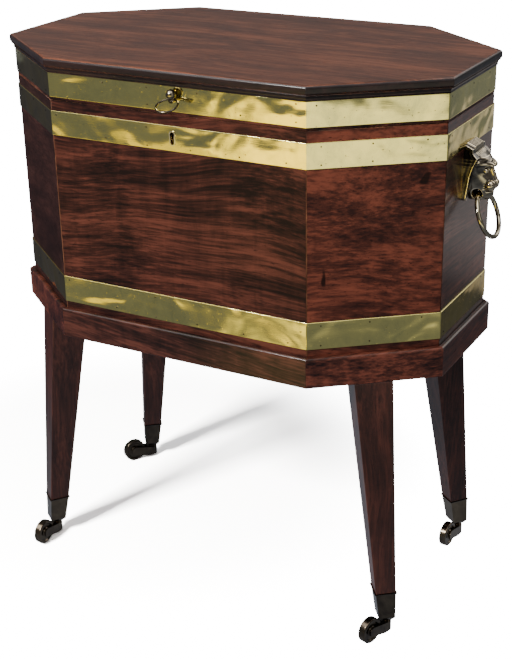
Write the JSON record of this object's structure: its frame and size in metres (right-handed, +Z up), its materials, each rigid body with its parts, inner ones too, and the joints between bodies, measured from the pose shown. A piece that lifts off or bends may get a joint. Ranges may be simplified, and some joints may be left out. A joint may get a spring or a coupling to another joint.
{
  "type": "cellarette",
  "caption": "Octagonal brass-bound mahogany cellarette: hinged lid over a lined bottle well with crossed dividers, lion-mask ring handles, lock and knob, on a splayed-leg stand with castors.",
  "frame": {"origin": "on the floor, in the middle of the overall width and depth, with the knob's ring as it lies at rest", "axes": "+X to the right along the coffer as seen from the front, -Y to the front where the keyhole is, +Z up"},
  "size_m": [0.6676, 0.3858, 0.705],
  "materials": {
    "mahogany": "polished dark red-brown mahogany",
    "brass": "aged polished brass",
    "castor_brass": "dark patinated brass",
    "zinc": "dull zinc sheet",
    "iron": "dark wrought iron"
  },
  "bodies": {
    "coffer_and_stand": {"front_panel": "mahogany", "back_panel": "mahogany", "right_end_panel": "mahogany", "left_end_panel": "mahogany", "bottom_board": "mahogany", "upper_body_band": "brass", "lower_body_band": "brass", "keyhole_liner": "brass", "lock_case": "brass", "body_hinge_leaves": "brass", "hinge_pins": "iron", "metal_liner": "zinc", "long_dividers": "mahogany", "cross_dividers": "mahogany", "right_lion_mask": "brass", "left_lion_mask": "brass", "handle_nuts": "iron", "apron_front_rail": "mahogany", "apron_back_rail": "mahogany", "apron_end_rails": "mahogany", "apron_corner_blocks": "mahogany", "stand_screws": "iron", "front_left_cant_panel": "mahogany", "front_left_leg": "mahogany", "front_left_castor_socket": "castor_brass", "front_right_cant_panel": "mahogany", "front_right_leg": "mahogany", "front_right_castor_socket": "castor_brass", "back_right_cant_panel": "mahogany", "back_right_leg": "mahogany", "back_right_castor_socket": "castor_brass", "back_left_cant_panel": "mahogany", "back_left_leg": "mahogany", "back_left_castor_socket": "castor_brass"},
    "lid": {"lid_top_board": "mahogany", "lid_cove_moulding": "mahogany", "lid_rim_boards": "mahogany", "lid_band": "brass", "lock_link_plate": "brass", "lid_knob": "brass", "knob_nut": "iron", "lid_hinge_leaves": "brass"},
    "knob_ring": {"knob_ring": "brass"},
    "lock_bolt": {"lock_bolt": "iron"},
    "right_handle_ring": {"right_handle_ring": "brass"},
    "left_handle_ring": {"left_handle_ring": "brass"},
    "front_left_castor": {"front_left_castor_horn": "castor_brass", "front_left_castor_axle": "castor_brass"},
    "front_left_castor_wheel": {"front_left_castor_wheel": "castor_brass"},
    "front_right_castor": {"front_right_castor_horn": "castor_brass", "front_right_castor_axle": "castor_brass"},
    "front_right_castor_wheel": {"front_right_castor_wheel": "castor_brass"},
    "back_right_castor": {"back_right_castor_horn": "castor_brass", "back_right_castor_axle": "castor_brass"},
    "back_right_castor_wheel": {"back_right_castor_wheel": "castor_brass"},
    "back_left_castor": {"back_left_castor_horn": "castor_brass", "back_left_castor_axle": "castor_brass"},
    "back_left_castor_wheel": {"back_left_castor_wheel": "castor_brass"}
  },
  "joints": [
    {"name": "lid_hinge", "type": "hinge", "parent": "coffer_and_stand", "child": "lid", "pos_m": [0, 0.18862, 0.6543], "axis": [-1, 0, 0], "range_deg": [0, 100]},
    {"name": "knob_ring_swing", "type": "hinge", "parent": "lid", "child": "knob_ring", "pos_m": [0.005, -0.16728, 0.6735], "axis": [-1, 0, 0], "range_deg": [-74, 101]},
    {"name": "lock_bolt_slide", "type": "slide", "parent": "coffer_and_stand", "child": "lock_bolt", "axis": [1, 0, 0], "range_m": [0, 0.006]},
    {"name": "right_handle_swing", "type": "hinge", "parent": "coffer_and_stand", "child": "right_handle_ring", "pos_m": [0.3102, 0.01242, 0.555], "axis": [0, -1, 0], "range_deg": [-33, 68]},
    {"name": "left_handle_swing", "type": "hinge", "parent": "coffer_and_stand", "child": "left_handle_ring", "pos_m": [-0.3102, 0.01242, 0.555], "axis": [0, 1, 0], "range_deg": [-33, 68]},
    {"name": "front_left_castor_swivel", "type": "hinge", "parent": "coffer_and_stand", "child": "front_left_castor", "pos_m": [-0.25694, -0.11444, 0.021], "axis": [0, 0, 1], "continuous": true},
    {"name": "front_left_wheel_spin", "type": "hinge", "parent": "front_left_castor", "child": "front_left_castor_wheel", "pos_m": [-0.25694, -0.14449, 0.017], "axis": [1, 0, 0], "continuous": true},
    {"name": "front_right_castor_swivel", "type": "hinge", "parent": "coffer_and_stand", "child": "front_right_castor", "pos_m": [0.25694, -0.11444, 0.021], "axis": [0, 0, 1], "continuous": true},
    {"name": "front_right_wheel_spin", "type": "hinge", "parent": "front_right_castor", "child": "front_right_castor_wheel", "pos_m": [0.24815, -0.14318, 0.017], "axis": [0.9563, -0.2924, 0], "continuous": true},
    {"name": "back_right_castor_swivel", "type": "hinge", "parent": "coffer_and_stand", "child": "back_right_castor", "pos_m": [0.25694, 0.13928, 0.021], "axis": [0, 0, 1], "continuous": true},
    {"name": "back_right_wheel_spin", "type": "hinge", "parent": "back_right_castor", "child": "back_right_castor_wheel", "pos_m": [0.25432, 0.10935, 0.017], "axis": [0.9962, -0.0872, 0], "continuous": true},
    {"name": "back_left_castor_swivel", "type": "hinge", "parent": "coffer_and_stand", "child": "back_left_castor", "pos_m": [-0.25694, 0.13928, 0.021], "axis": [0, 0, 1], "continuous": true},
    {"name": "back_left_wheel_spin", "type": "hinge", "parent": "back_left_castor", "child": "back_left_castor_wheel", "pos_m": [-0.27374, 0.11437, 0.017], "axis": [0.829, -0.5592, 0], "continuous": true}
  ]
}
